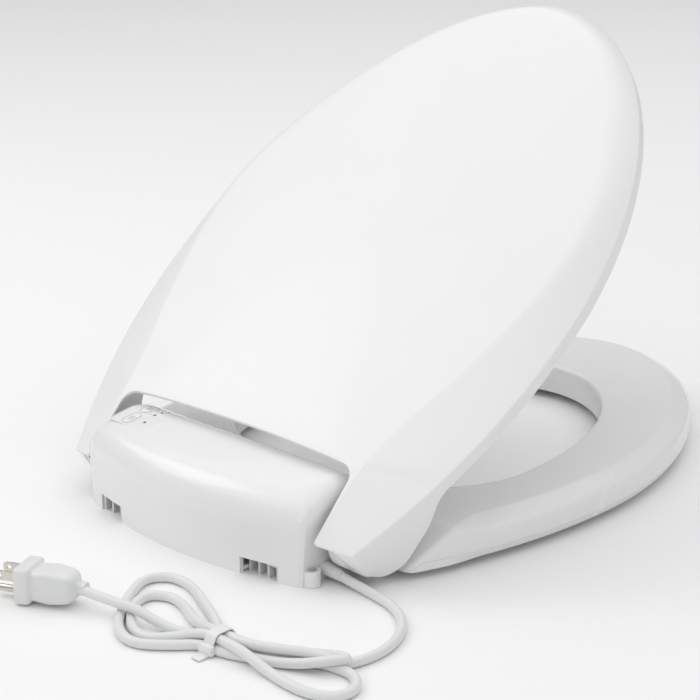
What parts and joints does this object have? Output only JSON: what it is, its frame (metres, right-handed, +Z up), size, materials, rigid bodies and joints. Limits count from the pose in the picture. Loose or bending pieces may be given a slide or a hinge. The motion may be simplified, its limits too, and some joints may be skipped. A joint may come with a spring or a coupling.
{
  "type": "heated toilet seat",
  "caption": "Elongated electric toilet seat with lid, rear electric housing, hinged seat ring, control buttons and a mains cord with plug.",
  "frame": {"origin": "midway between the two bowl-bolt holes, on the plane that the housing rests on", "axes": "-Y to the front tip of the seat, +Y to the rear wall, +Z up, +X to the side with the controls"},
  "size_m": [0.4134, 0.6434, 0.3256],
  "materials": {
    "blade_metal": "plated brass",
    "bracket_white": "satin moulded nylon",
    "bumper_rubber": "soft white rubber",
    "bush_nylon": "natural nylon",
    "button_white": "satin button cap",
    "capacitor_can": "capacitor can",
    "circuit_board": "green circuit board",
    "clear_lens": "clear diffusing lens",
    "cord_white": "white vinyl sheath",
    "damper_black": "black rotary damper",
    "emitter": "light emitting diode",
    "fuse_case": "ceramic-coloured fuse case",
    "heater_foil": "heater foil",
    "housing_white": "glossy moulded polypropylene",
    "led_lens": "small dark indicator window",
    "lid_white": "glossy moulded polypropylene",
    "panel_film": "thin film over the controls",
    "pin_steel": "steel",
    "plug_white": "moulded vinyl plug",
    "relay_case": "blue relay case",
    "seat_white": "glossy moulded polypropylene",
    "switch_black": "black moulding",
    "tie_white": "white releasable strap",
    "transformer_steel": "laminated core and bobbin"
  },
  "bodies": {
    "root": {"base_pads": "bumper_rubber", "base_pan": "housing_white", "capacitor": "capacitor_can", "control_board": "circuit_board", "cord_clamp": "switch_black", "cord_gland": "cord_white", "cord_hank": "cord_white", "cord_lead": "cord_white", "cord_tail": "cord_white", "cord_tie": "tie_white", "damper_left": "damper_black", "damper_right": "damper_black", "ear_left": "housing_white", "ear_right": "housing_white", "fuse_holder": "fuse_case", "hinge_pin_left": "pin_steel", "hinge_pin_right": "pin_steel", "led_emitters": "emitter", "led_lenses": "led_lens", "mount_bracket_left": "bracket_white", "mount_bracket_right": "bracket_white", "night_light_board": "circuit_board", "night_light_leds": "emitter", "night_light_lens": "clear_lens", "pan_screws": "pin_steel", "panel_overlay": "panel_film", "plug_blades": "blade_metal", "plug_body": "plug_white", "plug_earth_pin": "blade_metal", "power_board": "circuit_board", "relay": "relay_case", "tact_switches": "switch_black", "top_cover": "housing_white", "transformer": "transformer_steel"},
    "seat": {"seat_bottom_shell": "seat_white", "seat_bumpers": "bumper_rubber", "seat_bush_left": "bush_nylon", "seat_bush_right": "bush_nylon", "seat_heater": "heater_foil", "seat_thermal_fuse": "fuse_case", "seat_thermostat": "switch_black", "seat_top_shell": "seat_white"},
    "lid": {"lid_bumpers": "bumper_rubber", "lid_bush_left": "bush_nylon", "lid_bush_right": "bush_nylon", "lid_shell": "lid_white"},
    "heat_button": {"heat_button": "button_white"},
    "light_button": {"light_button": "button_white"}
  },
  "joints": [
    {"name": "seat_hinge", "type": "hinge", "parent": "root", "child": "seat", "pos_m": [0, -0.006, 0.028], "axis": [-1, 0, 0], "range_deg": [0, 30]},
    {"name": "lid_hinge", "type": "hinge", "parent": "seat", "child": "lid", "pos_m": [0, -0.006, 0.028], "axis": [-1, 0, 0], "range_deg": [-38.3, 21.7]},
    {"name": "heat_button_press", "type": "slide", "parent": "root", "child": "heat_button", "axis": [0, 0, -1], "range_m": [0, 0.0012]},
    {"name": "light_button_press", "type": "slide", "parent": "root", "child": "light_button", "axis": [0, 0, -1], "range_m": [0, 0.0012]}
  ]
}
